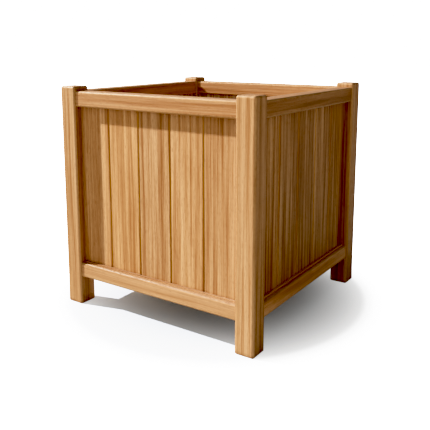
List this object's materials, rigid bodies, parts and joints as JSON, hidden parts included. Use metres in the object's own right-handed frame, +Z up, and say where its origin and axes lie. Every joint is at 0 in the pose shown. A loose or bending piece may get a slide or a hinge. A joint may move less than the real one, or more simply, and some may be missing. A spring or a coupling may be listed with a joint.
{
  "type": "planter box",
  "caption": "Square outdoor planter box: corner posts and rails framing tongue-and-groove board sides, with a slatted floor inside.",
  "frame": {"origin": "on the ground at the middle of the box, level with the undersides of the posts", "axes": "+Z up, +X to the right and -Y towards the front, square to the sides"},
  "size_m": [0.6, 0.6, 0.6],
  "materials": {
    "post_wood": "oiled golden-brown hardwood, planed and sanded, grain upright",
    "rail_wood": "oiled golden-brown hardwood, planed and sanded, grain along the rail",
    "board_wood": "oiled golden-brown hardwood, grain upright, colour varies from board to board",
    "floor_wood": "planed hardwood, bare",
    "screw_steel": "stainless"
  },
  "bodies": {
    "root": {"bearer_screws": "screw_steel", "bottom_rail_back": "rail_wood", "bottom_rail_front": "rail_wood", "bottom_rail_left": "rail_wood", "bottom_rail_right": "rail_wood", "corner_post_back_left": "post_wood", "corner_post_back_right": "post_wood", "corner_post_front_left": "post_wood", "corner_post_front_right": "post_wood", "floor_bearer_left": "floor_wood", "floor_bearer_right": "floor_wood", "floor_slat_1": "floor_wood", "floor_slat_2": "floor_wood", "floor_slat_3": "floor_wood", "floor_slat_4": "floor_wood", "floor_slat_5": "floor_wood", "floor_slat_6": "floor_wood", "side_board_back_1": "board_wood", "side_board_back_2": "board_wood", "side_board_back_3": "board_wood", "side_board_back_4": "board_wood", "side_board_back_5": "board_wood", "side_board_front_1": "board_wood", "side_board_front_2": "board_wood", "side_board_front_3": "board_wood", "side_board_front_4": "board_wood", "side_board_front_5": "board_wood", "side_board_left_1": "board_wood", "side_board_left_2": "board_wood", "side_board_left_3": "board_wood", "side_board_left_4": "board_wood", "side_board_left_5": "board_wood", "side_board_right_1": "board_wood", "side_board_right_2": "board_wood", "side_board_right_3": "board_wood", "side_board_right_4": "board_wood", "side_board_right_5": "board_wood", "slat_screws": "screw_steel", "top_rail_back": "rail_wood", "top_rail_front": "rail_wood", "top_rail_left": "rail_wood", "top_rail_right": "rail_wood"}
  },
  "joints": []
}
